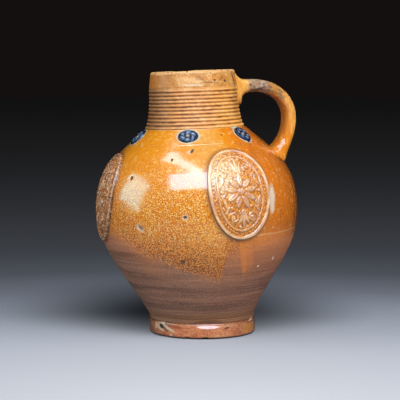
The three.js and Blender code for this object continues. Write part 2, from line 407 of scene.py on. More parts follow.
def placedPatchGroup():  # a ragged oval at one place on the jug
    tree, given, out = shaderGroup("placedPatch", {
        "vector": None, "centre": None, "bearing": 0.0, "tilt": 0.0,
        "width": 0.005, "height": 0.005, "ragged": 0.3, "soft": 0.3}, "mask")
    away = vectorCalc("SUBTRACT", given.vector, given.centre)
    x, y, z = split(turned(turned(away, given.bearing * -1.0, "Z"), given.tilt, "X"))
    reach = vectorCalc("LENGTH", join(x * 25.0, y / given.width, z / given.height))
    grain = 0.9 / calc("MINIMUM", given.width, given.height)
    rough = noise(given.vector, grain, 3.0, 0.6) - 0.5
    edge = reach + rough * (given.ragged * 4.0)
    wire(ramp(edge, 1.0 + given.soft, 1.0 - given.soft, smooth=True), out["mask"])
    return tree


saltGrain = saltGrainGroup()
placedPatch = placedPatchGroup()


def grainAt(vector, scale, uneven):
    wires = {"vector": vector, "scale": scale, "uneven": uneven}
    return SimpleNamespace(**put(vector.tree, "ShaderNodeGroup", wires, None, node_tree=saltGrain))


def patchAt(vector, centre, bearing, width, height, ragged, soft=0.3, tilt=0.0):
    wires = {
        "vector": vector, "centre": centre, "bearing": math.radians(bearing), "tilt": math.radians(tilt),
        "width": width * mm, "height": height * mm, "ragged": ragged, "soft": soft,
    }
    return put(vector.tree, "ShaderNodeGroup", wires, "mask", node_tree=placedPatch)


def newMaterial(name, *stored):  # the material, its shader, where a point is, and values stored on the mesh
    material = bpy.data.materials.new(name)
    material.use_nodes = True
    tree = material.node_tree
    place = put(tree, "ShaderNodeTexCoord", out="Object")
    values = (put(tree, "ShaderNodeAttribute", out="Fac", attribute_name=value) for value in stored)
    return material, tree.nodes["Principled BSDF"], place, *values


def dress(shader, sockets):
    for name, value in sockets.items():
        wire(value, shader.inputs[name])


def bump(shader, height, distance):
    normal = put(height.tree, "ShaderNodeBump", {"Height": height, "Distance": distance, "Strength": 1.0})
    wire(normal, shader.inputs["Normal"])


bodyFinish = {
    "amber": (242, 166, 48), "amberDeep": (224, 134, 32), "east": (220, 112, 16), "dipped": (246, 142, 48),
    # the pale shoulder tint is painted sheen
    "shoulder": (228, 146, 22), "shoulderSheen": (222, 164, 82), "wash": (230, 138, 76),
    "bead": (255, 230, 154), "beadLow": (255, 182, 66), "net": (206, 112, 30), "netLow": (128, 62, 24),
    "clay": (176, 124, 94), "clayDark": (100, 70, 56), "clayPale": (204, 148, 114), "clayRed": (144, 92, 72),
    "clayGold": (184, 130, 78), "neck": (214, 136, 48), "neckWest": (146, 92, 42), "neckEast": (240, 162, 54),
    "groove": (108, 56, 20), "grooveWest": (58, 34, 16), "rim": (200, 138, 60), "rimWest": (176, 104, 18),
    # the dark foot tint and the pit tint also paint shade and shadow on the foot
    "foot": (216, 134, 84), "footDarkAndShade": (96, 56, 38), "footPale": (236, 198, 156), "footRed": (168, 78, 46),
    "ochre": (208, 136, 34), "halo": (204, 212, 190), "outline": (150, 88, 40), "pitAndShadow": (40, 27, 24),
    # the tan tint and the pale scar tint are also painted as highlights on the rim and neck
    "paleScarAndGlint": (230, 214, 188), "tan": (246, 202, 140),
}
glazeGrain = 620.0

# flaws seen on the wall, with painted highlights on the rim band and painted shade beside the handle root:
# bearing, level, half width, half height, turn, tint, strength
wallFlawsAndPaintedLight = [
    (211.1, 150.2, 1.3, 1.7, 0, "pitAndShadow", 0.95), (237.4, 165.3, 1.1, 1.1, 0, "pitAndShadow", 0.85),
    (249.4, 171.3, 2.4, 1.8, 0, "paleScarAndGlint", 0.5), (251.2, 172.0, 1.0, 2.0, 35, "pitAndShadow", 0.9),
    (246.8, 116.1, 3.0, 2.4, 0, "paleScarAndGlint", 0.6), (246.8, 116.4, 1.6, 1.3, 0, "pitAndShadow", 0.9),
    (219.9, 106.6, 4.4, 2.6, 35, "paleScarAndGlint", 0.6), (220.5, 107.4, 2.8, 1.4, 35, "clayDark", 0.75),
    (243.3, 76.3, 2.2, 2.0, 0, "clayDark", 0.85), (295.4, 66.9, 1.2, 0.9, 0, "paleScarAndGlint", 0.9),
    (308.4, 72.0, 1.2, 1.4, 0, "paleScarAndGlint", 0.9), (300.3, 127.4, 3.4, 12.0, 6, "paleScarAndGlint", 0.9),
    (281.4, 76.0, 2.8, 18.0, -20, "dipped", 0.45), (284.6, 77.0, 5.2, 18.0, -20, "dipped", 0.3),
    # painted shade beside the handle root: the two groove-tinted marks on the neck
    (322.0, 233.5, 1.6, 7.5, -14, "groove", 0.75), (324.0, 212.0, 8.0, 15.0, 0, "groove", 0.3),
    (283.5, 233.0, 1.1, 0.9, 0, "pitAndShadow", 0.8), (300.0, 232.0, 1.2, 0.9, 0, "pitAndShadow", 0.8),
    # painted highlights on the rim band: three tan patches and a pale strip
    (247.0, 233.5, 11.0, 4.5, 0, "tan", 0.2), (252.0, 233.5, 5.0, 2.2, 0, "tan", 0.35),
    (262.0, 232.0, 3.4, 1.6, 0, "tan", 0.5), (254.8, 229.4, 10.0, 0.9, 0, "paleScarAndGlint", 0.6),
    (275.3, 231.4, 7.6, 0.45, 0, "groove", 0.75), (280.6, 184.5, 1.0, 0.8, 0, "groove", 0.8),
    (205.0, 9.8, 7.5, 4.0, 0, "footPale", 0.6), (194.0, 9.5, 1.2, 3.6, 10, "paleScarAndGlint", 0.8),
    (206.5, 12.4, 2.4, 1.8, -20, "paleScarAndGlint", 0.85), (214.6, 8.6, 7.3, 1.1, 22, "paleScarAndGlint", 0.8),
    (209.5, 7.4, 4.0, 1.3, 25, "footDarkAndShade", 0.8), (203.3, 9.4, 2.6, 2.0, 20, "pitAndShadow", 0.95),
    (218.0, 2.6, 1.5, 0.9, 0, "paleScarAndGlint", 0.8), (221.6, 11.4, 9.6, 0.9, 6, "footRed", 0.85),
    (226.0, 9.6, 5.0, 0.8, 6, "footRed", 0.75), (280.7, 9.7, 3.0, 0.9, -10, "footDarkAndShade", 0.85),
    (315.0, 7.2, 11.0, 4.6, 0, "ochre", 0.55), (320.0, 13.4, 5.5, 0.9, -12, "footPale", 0.8),
    (318.0, 11.8, 8.0, 0.7, 0, "footDarkAndShade", 0.7), (256.4, 0.8, 3.2, 1.0, 0, "pitAndShadow", 0.9),
    (237.9, 0.6, 2.4, 0.8, 0, "pitAndShadow", 0.9),
]
bodyValues = ("level", "side", "glazeRise", "groove", "fleck", "outline", "outside")  # stored on the mesh


def bodyLook(place, values):  # what the coats of the body go by
    return SimpleNamespace(
        **dict(zip(bodyValues, values)), tint=tints(bodyFinish), grain=grainAt(place, glazeGrain, 0.6),
        broad=noise(place, 24.0, 3.0), fine=noise(place, 230.0, 3.0, 0.6),
        mottle=noise(place, 700.0, 2.0, 0.6),
        lines=drawnNoise(place, 16.0, 620.0, 3.0, 0.65), bands=drawnNoise(place, 8.0, 90.0, 3.0),
        streaks=drawnNoise(place, 110.0, 22.0, 4.0, 0.6), blotch=drawnNoise(place, 90.0, 190.0, 4.0, 0.65),
        smears=drawnNoise(place, 70.0, 260.0, 3.0, 0.6), ragged=noise(place, 60.0, 4.0, 0.6) - 0.5)


def amberGlaze(look):  # brown and beaded towards its lower edge
    tint, level, side = look.tint, look.level, look.side
    low = ramp(look.glazeRise, 36.0, 6.0) * ramp(side, -0.7, 0.0, 0.4, 1.0)
    paintedSheen = ramp(side, -0.2, 0.1) * ramp(side, 0.5, 0.25)
    dipLine = level + look.ragged * 5.0
    tide = ramp(dipLine, 95.4, 96.2) * ramp(dipLine, 97.4, 96.6)
    speckFrom = ramp(low, 0.0, 1.0, 0.5, 0.45)
    specks = ramp(look.grain.speck, speckFrom, speckFrom + 0.06) * look.fleck
    beads = look.grain.bead * (look.fleck * ramp(side, -0.9, -0.4, 0.5, 1.0))
    return coated(tint["amber"], tint, [
        ("amberDeep", look.broad, 0.35, 0.7),
        # painted sheen: the shoulder paler in a band round the front
        (mix(paintedSheen, tint["shoulder"], tint["shoulderSheen"]), level, 140.0, 172.0),
        ("east", ramp(side, 0.35, 0.8, smooth=True)),
        ("amberDeep", look.mottle, 0.5, 0.7, 0.55),
        ("outline", ramp(look.streaks, 0.5, 0.64, 0.0, 0.38) * ramp(side, 0.3, 0.7)),
        ("amberDeep", look.fine, 0.52, 0.68, 0.6),
        ("bead", look.fine, 0.46, 0.3, 0.35),
        ("dipped", dipLine, 97.5, 95.5, 0.5),
        ("wash", look.glazeRise, 15.0, 0.0, 0.7),
        (mix(low, tint["net"], tint["netLow"]), specks),
        (mix(low, tint["bead"], tint["beadLow"]), beads),
        ("tan", tide * ramp(side, 0.0, 0.6, 0.1, 0.4)),
    ])


def bareClay(look):  # the turned lines over the foot are pale on their crests
    level, side = look.level, look.side
    phase = calc("SINE", (level - bodyShape["lineFoot"]) * bodyShape["lineTurn"])
    overFoot = ramp(level, 14.6, 15.4) * ramp(level, 24.5, 22.5)
    crisp = overFoot * ramp(look.lines, 0.3, 0.55, 0.3, 1.0)
    return coated(look.tint["clayDark"], look.tint, [
        ("clay", look.bands, 0.36, 0.64),
        ("clayRed", side, 0.0, 0.8, 0.7),
        ("clayDark", side, -0.3, -0.9, 0.25),
        ("clayPale", look.lines, 0.52, 0.68, 0.4),
        ("clayDark", look.lines, 0.47, 0.32, 0.5),
        ("clayPale", look.mottle, 0.52, 0.68, 0.4),
        ("clayDark", look.mottle, 0.46, 0.32, 0.4),
        ("clayDark", level, 34.0, 18.0, 0.5),
        ("wash", ramp(level, 52.0, 86.0, 0.0, 0.6) * ramp(side, -0.1, 0.4)),
        ("wash", ramp(look.glazeRise, -26.0, -2.0, 0.0, 0.35) * ramp(side, -0.3, -0.55)),
        ("clayGold", overFoot * 0.3),
        ("clayGold", crisp * ramp(phase, 0.3, 1.0, 0.0, 0.8)),
        ("footDarkAndShade", crisp * ramp(phase, -0.3, -1.0, 0.0, 0.8)),
    ])


def neckGlaze(look):
    tint, side = look.tint, look.side
    onRim = ramp(look.level, 226.0, 228.0)
    onRibs = 1.0 - onRim
    worn = ramp(look.level, 238.8, 240.6)
    hollow = mix(ramp(side, -0.1, -0.8), tint["groove"], tint["grooveWest"])
    return coated(tint["neck"], tint, [
        ("rim", onRim),
        ("neckEast", ramp(side, 0.2, 0.7) * onRibs),
        ("amberDeep", look.lines, 0.45, 0.7, 0.7),
        ("tan", look.fine, 0.52, 0.66, 0.5),
        ("groove", look.blotch, 0.46, 0.34, 0.5),
        ("tan", look.blotch, 0.54, 0.66, 0.35),
        ("groove", onRim * ramp(look.mottle, 0.45, 0.33, 0.0, 0.5)),
        # painted highlight: tan on the rib crests
        ("tan", ramp(look.groove, 0.3, 0.05, 0.0, 0.35) * onRibs),
        (mix(onRim, tint["neckWest"], tint["rimWest"]), side, -0.3, -0.9, 0.9),
        (hollow, ramp(look.groove, 0.2, 0.75) * ramp(look.blotch, 0.35, 0.6, 1.0, 0.55)),
        # painted highlight: tan along the lip; the dark specks after it are wear
        ("tan", worn * 0.5),
        ("groove", worn * ramp(look.fine, 0.58, 0.63)),
    ])


def footGlaze(look):
    return coated(look.tint["foot"], look.tint, [
        ("footPale", look.smears, 0.54, 0.68, 0.4),
        ("footRed", look.smears, 0.46, 0.36, 0.5),
        ("footRed", look.fine, 0.5, 0.62, 0.4),
        ("footPale", look.mottle, 0.52, 0.66, 0.25),
        ("footDarkAndShade", look.mottle, 0.47, 0.34, 0.3),
        # painted shade: darker under the turned lines at the top of the foot and at its left and right ends,
        # and a painted shadow along the bottom edge
        ("footDarkAndShade", look.level, 12.2, 13.6, 0.5),
        ("footDarkAndShade", look.side, -0.55, -0.95, 0.5),
        ("footDarkAndShade", look.side, 0.3, 0.9, 0.35),
        ("footDarkAndShade", look.level, 2.6, 0.8),
        ("pitAndShadow", look.level, 1.5, 0.6, 0.9),
    ])


def bodyMaterial():
    material, shader, place, *values = newMaterial("saltGlaze", *bodyValues)
    look = bodyLook(place, values)
    tint = look.tint
    edge = look.glazeRise + look.ragged * 9.0 - (look.grain.speck - 0.5) * 20.0
    glazed = ramp(edge, -5.0, 5.0, smooth=True)
    onNeck = ramp(look.level, 189.5, 190.5)
    onFoot = ramp(look.level, 15.0, 13.8)
    colour = coated(bareClay(look), tint, [
        (amberGlaze(look), glazed), (neckGlaze(look), onNeck), (footGlaze(look), onFoot),
        ("outline", look.outline * 0.7)])
    for order, bearing in enumerate(rosetteShape["bearings"]):  # pale glaze round the blue
        width, height = (size * 0.55 for size in rosetteSize(order))
        at = wallSpot(bearing, np.interp(rosetteMiddle(order), wallRun, wallLine[:, 1]))
        halo = patchAt(place, at, bearing, width, height * 0.69, 0.09, 0.1)
        colour = mix(halo * 0.8, colour, tint["halo"])
    inner = colour  # the flaws, painted highlights and painted shade don't show inside the mouth
    pits = 0.0
    for bearing, at, width, height, tilt, name, strength in wallFlawsAndPaintedLight:
        mask = patchAt(place, wallSpot(bearing, at), bearing, width, height, 0.24, tilt=tilt)
        colour = mix(mask * strength, colour, tint[name])
        if name == "pitAndShadow":
            pits = pits + mask
    pits = pits * look.outside

    shine = calc("MAXIMUM", glazed, onFoot * 0.9) * (1.0 - onNeck * 0.9) * ramp(pits, 0.0, 0.6, 1.0, 0.0)
    dress(shader, {
        "Base Color": mix(look.outside, inner, colour), "Roughness": ramp(shine, 0.0, 1.0, 0.62, 0.19),
        "Coat Weight": shine, "Coat Roughness": 0.15, "Coat IOR": 1.78, "Specular IOR Level": 0.5})
    peel = look.grain.height * (glazed * ramp(look.fleck, 0.0, 1.0, 0.45, 1.0))
    height = peel + look.lines * ramp(shine, 0.0, 1.0, 1.2, 0.35) + look.fine * 0.8
    bump(shader, height - pits * 4.0, 0.00019)
    return material


# body: a profile turned round by a rule, with ribs, turned lines, throwing rings and a slight wobble
bodyShape = {
    "columns": 240, "ribCount": 11, "ribDepth": 0.9, "ribRows": 8,
    "lineCount": 4, "lineFoot": 15.2, "lineTop": 24.0, "lineDepth": 0.4, "lineTurn": 2.86,
    "ripple": 0.5, "wobble": 0.7, "seed": 4.0, "incisedRise": 6.2, "incisedDepth": 0.6, "incisedWidth": 1.6,
    "fleckBearing": 232, "baseRows": 7, "footRows": 17, "waistRows": 10, "waistStart": 0.05,
    "waistStep": 0.4, "lowerRows": 74, "linedTo": 27, "linedRows": 24, "upperRows": 46, "rimRows": 10,
    "throatRows": 10, "hollowRows": 34, "floorRows": 6, "neckSteps": 200,
}

# dents and chips: bearing, level, half width, half height, depth
wallDents = [
    (205.5, 9.8, 8.0, 5.5, 0.9), (203.6, 9.2, 2.6, 2.2, 1.3), (237.5, 0.6, 3.4, 2.2, 1.6),
    (256.3, 0.4, 4.0, 2.0, 1.5), (260.0, 13.6, 16.0, 4.4, 2.0), (219.9, 106.6, 5.0, 3.6, 0.5),
    (246.8, 116.1, 3.2, 3.0, 0.5), (211.1, 150.2, 2.6, 2.6, 0.6), (298.6, 131.5, 3.0, 12.0, 0.35),
    (250.9, 171.8, 2.4, 3.0, 0.6), (60.0, 70.0, 9.0, 6.0, 0.5), (140.0, 88.0, 7.0, 5.0, 0.5),
    (20.0, 0.5, 5.0, 2.0, 1.2), (120.0, 0.5, 4.0, 2.0, 1.2),
]

# lower edge of the glaze: bearing, level
glazeEdge = [
    (0, 90), (30, 84), (60, 78), (90, 70), (120, 74), (150, 92), (180, 101), (195, 99), (207, 93.5),
    (214, 86.5), (221, 80), (226, 77.5), (231, 76), (239, 71), (248, 66.5), (257, 63), (264, 58), (268.0, 57),
    (269.6, 72), (271.0, 80), (278, 82), (290, 85), (307, 87), (335, 90),
]

# dips of the rim: bearing, half width in degrees, depth
rimDips = [(279.7, 9, 0.9), (200, 14, 0.6), (90, 20, 0.7), (150, 12, 0.5)]


def roundCorner(radius, height, rounding, start, end, count):
    turn = np.radians(np.linspace(start, end, count))
    return np.stack([radius + rounding * np.cos(turn), height + rounding * np.sin(turn)], 1)


def insetLine(line):  # the inside of the wall
    step = np.gradient(line, axis=0)
    return line + wall.wall * np.stack([-step[:, 1], step[:, 0]], 1) / np.hypot(*step.T)[:, None]


def bodyProfile():
    shape = SimpleNamespace(**bodyShape)
    foot, under, over = wall.footRadius, wall.footRounding, wall.footShoulder
    base = np.stack([np.linspace(0, foot - under, shape.baseRows + 1)[:-1], np.zeros(shape.baseRows)], 1)
    footLevels = np.linspace(under, wall.footHeight - over, shape.footRows + 2)[1:-1]
    footSide = np.stack([np.full(shape.footRows, foot), footLevels], 1)
    waistStart = wall.footHeight + shape.waistStart
    waistLevels = [waistStart + step * shape.waistStep for step in range(shape.waistRows)]
    waistLine = np.array([[wall.waistRadius, level] for level in waistLevels])
    lower = spaced(np.vstack([waist, lowerWall[1:]]), shape.lowerRows)
    lined = lower[lower[:, 1] < shape.linedTo]  # closer rows where the turned lines are
    lower = np.vstack([spaced(lined, shape.linedRows), lower[len(lined):]])
    upper = spaced(upperWall, shape.upperRows)[1:-1]

    # distances up from the shoulder, closer together at the incised line
    mark, half = shape.incisedRise, shape.incisedWidth / 2
    steps = [0, 2.2, 4, mark - half * 1.25, mark - half * 0.7, mark, mark + half * 0.7, mark + half * 1.25]
    steps += list(np.linspace(mark + 2.4, 24.6, 9))
    slope = np.array([shoulder - slopeDown * distance for distance in steps])
    slope[steps.index(mark)] -= shape.incisedDepth / math.sqrt(2)

    neckStart = [wall.neckFootRadius - shape.ribDepth, wall.neckFootHeight]
    neckPull = [wall.neckRadius, wall.neckFootHeight + wall.neckSweep]
    neckCurve = bezier([neckStart, neckPull, [wall.neckRadius, ribbedTop]], shape.neckSteps)
    neck = spaced(neckCurve, shape.ribCount * shape.ribRows + 1)
    lip = wall.lipRounding
    lipLevel = wall.jugHeight - lip
    rimFoot = [wall.neckRadius + shape.ribDepth / 2, ribbedTop + 0.9]
    rimLine = np.linspace(rimFoot, [wall.rimRadius, lipLevel], shape.rimRows)
    outer = np.vstack([
        base, roundCorner(foot - under, under, under, -90, 0, 7), footSide,
        roundCorner(foot - over, wall.footHeight - over, over, 0, 90, 5),
        waistLine, lower, upper, slope, neck, rimLine,
        roundCorner(wall.rimRadius - lip, lipLevel, lip, 12, 90, 6),
        roundCorner(wall.rimRadius - wall.neckWall + lip, lipLevel, lip, 92, 168, 6)])

    rising = insetLine(lowerWall)
    rising = rising[rising[:, 1] > wall.baseThickness + wall.wall]
    rising = np.vstack([rising, insetLine(upperWall)[1:]])
    throat = wall.neckRadius - wall.neckWall
    down = np.linspace([throat, lipLevel - 4], [throat, wall.neckFootHeight], shape.throatRows)
    hollow = spaced(rising[::-1], shape.hollowRows)
    inward = np.linspace(hollow[-1][0] - wall.wall, 0, shape.floorRows)
    floor = np.stack([inward, np.full(shape.floorRows, wall.baseThickness)], 1)
    return np.vstack([outer, down, hollow, floor]), len(outer)


def thrownBodyTree():
    tree, given = newTree(
        "thrownBody", object="profile", material="material", int="rows outerRows columns ribCount lineCount",
        float="ribDepth ribFoot ribTop lineDepth lineFoot lineTop ripple wobble seed")
    profile = put(tree, "GeometryNodeObjectInfo", {"Object": given.profile}, "Geometry")
    sheet, row, cosine, sine = wrappedSheet(tree, given.rows, given.columns)
    wires = {"Geometry": profile, "Value": put(tree, "GeometryNodeInputPosition"), "Index": row}
    picked = put(tree, "GeometryNodeSampleIndex", wires, "Value", data_type="FLOAT_VECTOR", domain="POINT")
    lineRadius, _, level = split(picked)

    def rings(foot, top, count):
        return calc("ABSOLUTE", calc("SINE", ramp(level, foot, top) * count * math.pi))

    def uneven(around, up, detail):  # seeded, so that it comes out alike each time
        spot = join(cosine * around, sine * around, level * up)
        wires = {"Vector": spot, "W": given.seed, "Scale": 1.0, "Detail": detail}
        return put(tree, "ShaderNodeTexNoise", wires, noise_dimensions="4D") - 0.5

    outside = calc("LESS_THAN", row, given.outerRows - 0.5)
    ribs = given.ribDepth * rings(given.ribFoot, given.ribTop, given.ribCount)
    lines = given.lineDepth * rings(given.lineFoot, given.lineTop, given.lineCount)
    thrown = given.ripple * uneven(0.7, 0.21, 2.0) + given.wobble * uneven(1.3, 0.02, 1.0)
    radius = lineRadius + outside * (ribs + lines + thrown * ramp(lineRadius, 30.0, 45.0))
    spun = moved(keep(sheet, "outside", outside), join(radius * cosine, radius * sine, level))
    return endTree(merged(spun, 0.001), given.material)


def finishBody(mesh):
    points = pointsOf(mesh)
    outside = readValue(mesh, "outside")
    radius = np.hypot(points[:, 0], points[:, 1])
    bearing = np.degrees(np.arctan2(points[:, 1], points[:, 0])) % 360
    level = points[:, 2].copy()
    pushed = radius.copy()
    for at, height, halfWidth, halfHeight, depth in wallDents:
        across = np.radians(degreesFrom(at, bearing)) * radius
        reach = (across / halfWidth) ** 2 + ((level - height) / halfHeight) ** 2
        pushed -= outside * depth * np.clip(1 - reach, 0, 1) ** 1.5
    share = np.where(radius > 1e-6, pushed / np.maximum(radius, 1e-6), 1)
    points[:, :2] *= share[:, None]
    onRim = smoothStep(level, ribbedTop, wall.jugHeight)
    for at, spread, depth in rimDips:
        off = np.abs(degreesFrom(at, bearing))
        points[:, 2] -= onRim * depth * np.clip(1 - (off / spread) ** 2, 0, 1) ** 2

    writeValue(mesh, "level", level)
    writeValue(mesh, "side", np.sin(np.radians(bearing + 90 - cameraPlace["azimuth"])))
    edge = np.array(glazeEdge, float)
    writeValue(mesh, "glazeRise", level - np.interp(bearing, edge[:, 0], edge[:, 1], period=360))
    share = (level - wall.neckFootHeight) / (ribbedTop - wall.neckFootHeight)
    ring = 1 - np.abs(np.sin(np.pi * bodyShape["ribCount"] * share))
    writeValue(mesh, "groove", np.where((share > 0) & (share < 1), ring * outside, 0))
    front = smoothStep(np.cos(np.radians(bearing - bodyShape["fleckBearing"])), 0.5, 0.95)
    fleck = smoothStep(level, 172, 120) * front * 0.75 + 0.25 * smoothStep(level, 190, 155)
    writeValue(mesh, "fleck", np.clip(fleck, 0, 1))
    run = np.interp(level, wallLine[:, 1], wallRun)
    outline = np.zeros(len(level))
    for order, at in enumerate(medallionShape["bearings"]):
        across = np.radians(degreesFrom(at, bearing)) * radius / (medallionShape["width"] / 2)
        up = (run - medallionMiddle(order)) / (medallionShape["height"] / 2)
        outline = np.maximum(outline, smoothStep(np.hypot(across, up), 1.12, 1.02))
    writeValue(mesh, "outline", outline * outside)
    movePoints(mesh, leaned(points))
    faceOutwards(mesh)


def makeBody(material):
    profile, outerRows = bodyProfile()
    line = bpy.data.meshes.new("bodyProfile")
    line.from_pydata([(r, 0, z) for r, z in profile], [(i, i + 1) for i in range(len(profile) - 1)], [])
    guide = show("bodyProfile", line)
    body = grow("jugBody", thrownBodyTree(), {
        **bodyShape, "profile": guide, "rows": len(profile), "outerRows": outerRows,
        "ribFoot": wall.neckFootHeight, "ribTop": ribbedTop, "material": material})
    bpy.data.objects.remove(guide)
    finishBody(body.data)
    print("body rows", len(profile), "faces", len(body.data.polygons))
    return body


# handle: a strap section carried along its path, flared where it is luted on
handleShape = {
    "width": 25, "narrowing": 5, "thickness": 11.2, "reach": 92.2, "reachLevel": 196, "rootLevel": 222,
    "rootPull": 35, "crown": 12.5, "browPull": 21, "calfPull": 17, "tailPull": 15, "tailAngle": 37,
    "tailLevel": 156.8, "rootDepth": 6, "endDepth": 3, "underLip": 1.2, "squareness": 2.7,
    "upperFlare": 4, "lowerFlare": 8, "flareRun": 8.5, "smearUp": 19, "smearDown": 7.5, "smearRun": 2.7,
    "scoopReach": 83, "scoopLevel": 177, "scoopWidth": 3.6, "scoopHeight": 9, "scoopDepth": 1,
    "scoopFace": -4, "rows": 170, "sides": 60, "overSteps": 120, "underSteps": 80, "pathSteps": 160,
}


def strapPath():
    shape = SimpleNamespace(**handleShape)
    tailRadius = np.interp(shape.tailLevel, wallLine[:, 1], wallLine[:, 0])
    root = np.array([wall.neckRadius - shape.rootDepth, shape.rootLevel])
    reach = np.array([shape.reach, shape.reachLevel])
    tail = np.array([tailRadius - shape.rootDepth, shape.tailLevel])
    angle = math.radians(shape.tailAngle)
    lift = np.array([math.sin(angle), math.cos(angle)]) * shape.tailPull
    overPulls = [root + [shape.rootPull, shape.crown], reach + [0, shape.browPull]]
    over = bezier([root, *overPulls, reach], shape.overSteps)
    under = bezier([reach, reach - [0, shape.calfPull], tail + lift, tail], shape.underSteps)
    return spaced(np.vstack([over, under[1:]]), shape.pathSteps)


def strapTree():
    tree, given = newTree(
        "pulledStrap", object="path", material="material", int="rows sides",
        float="width narrowing thickness squareness rootDepth upperFlare lowerFlare flareRun "
              "smearUp smearDown smearRun")
    path = put(tree, "GeometryNodeObjectInfo", {"Object": given.path}, "Geometry")
    length = put(tree, "GeometryNodeCurveLength", {"Curve": path})
    sheet, row, cosine, sine = wrappedSheet(tree, given.rows, given.sides)
    last = given.rows - 1.0
    share = ramp(row, 1.0, last - 1.0)
    between = calc("GREATER_THAN", row, 0.5) * calc("LESS_THAN", row, last - 0.5)  # the end rows are points
    wires = {"Curves": path, "Factor": share}
    sampled = put(tree, "GeometryNodeSampleCurve", wires, None, mode="FACTOR", use_all_curves=True)
    alongX, _, alongZ = split(sampled["Tangent"])
    run = share * length

    def fading(distance, size, reach):  # clay smeared out towards a root
        off = calc("MAXIMUM", distance - given.rootDepth, 0.0)
        return size * calc("EXPONENT", off / reach * -1.0)

    def squared(value):
        return calc("SIGN", value) * calc("POWER", calc("ABSOLUTE", value), 2.0 / given.squareness)

    def onFace(value):
        return calc("POWER", calc("MAXIMUM", value, 0.0), 0.4)

    extra = fading(run, given.upperFlare, given.flareRun)
    extra = extra + fading(length - run, given.lowerFlare, given.flareRun)
    smear = onFace(sine) * fading(run, given.smearUp, given.smearRun)
    smear = smear - onFace(sine * -1.0) * fading(run, given.smearDown, given.smearRun)
    width = given.width - given.narrowing * share + extra
    thick = given.thickness + extra
    across = squared(cosine) * width * (between * 0.5)
    out = (squared(sine) * thick * 0.5 + smear) * between
    swept = vectorCalc("ADD", sampled["Position"], join(alongZ * -1.0 * out, across, alongX * out))
    bent = moved(keep(keep(sheet, "along", share), "face", sine), swept)
    return endTree(merged(bent, 0.001), given.material)


def outerRadius(level):
    straight = [wall.neckRadius, wall.neckFootHeight + wall.neckSweep * 2]
    line = np.vstack([wallLine, [straight, [wall.rimRadius, 260]]])
    return np.interp(level, line[:, 1], line[:, 0])


def makeHandle(material):
    shape = SimpleNamespace(**handleShape)
    path = strapPath()
    curve = bpy.data.curves.new("strapPath", "CURVE")
    curve.dimensions = "3D"
    spline = curve.splines.new("POLY")
    spline.points.add(len(path) - 1)
    for point, (x, z) in zip(spline.points, path):
        point.co = (x, 0, z, 1)
    guide = show("strapPath", curve)
    handle = grow("jugHandle", strapTree(), {**handleShape, "path": guide, "material": material})
    bpy.data.objects.remove(guide)
    points = pointsOf(handle.data)
    radius = np.hypot(points[:, 0], points[:, 1])
    deep = np.maximum(radius, outerRadius(points[:, 2]) - shape.endDepth)  # the ends stop inside the clay
    points[:, :2] *= (deep / np.maximum(radius, 1e-6))[:, None]
    points[:, 2] = np.minimum(points[:, 2], wall.jugHeight - shape.underLip)
    along = (points[:, 0] - shape.scoopReach) / shape.scoopWidth  # pressed in by a thumb over the lower root
    up = (points[:, 2] - shape.scoopLevel) / shape.scoopHeight
    pressed = np.clip(1 - along ** 2 - up ** 2, 0, 1) ** 1.5 * (points[:, 1] < shape.scoopFace)
    points[:, 1] += shape.scoopDepth * pressed
    movePoints(handle.data, leaned(points))
    faceOutwards(handle.data)
    print("handle faces", len(handle.data.polygons))
    return handle


handleFinish = {
    "amber": (244, 178, 84), "deep": (214, 132, 44), "low": (224, 132, 14), "scar": (146, 122, 104),
    "ash": (190, 172, 150), "crack": (58, 42, 36), "blue": (112, 106, 104), "bead": (250, 204, 120),
    "brown": (120, 70, 38), "pale": (254, 206, 130),
}
strapFlaws = [  # worn places on the strap: middle in metres, half width, half height, turn, tint, strength
    ((0.0515, -0.0115, 0.2285), 11.2, 8.5, 0, "scar", 0.85),
    ((0.0734, -0.0115, 0.218), 3.6, 1.8, 30, "blue", 0.6),
    ((0.0513, -0.0115, 0.2256), 6.5, 0.9, -18, "crack", 0.7),
    ((0.0745, -0.011, 0.200), 2.0, 8.0, 0, "brown", 0.8),
    ((0.066, -0.011, 0.2225), 8.0, 1.2, 20, "crack", 0.5),
    ((0.0680, -0.0105, 0.2265), 10.0, 4.2, 28, "brown", 0.35),
    ((0.0720, -0.011, 0.2235), 3.0, 1.2, 35, "crack", 0.5),
]


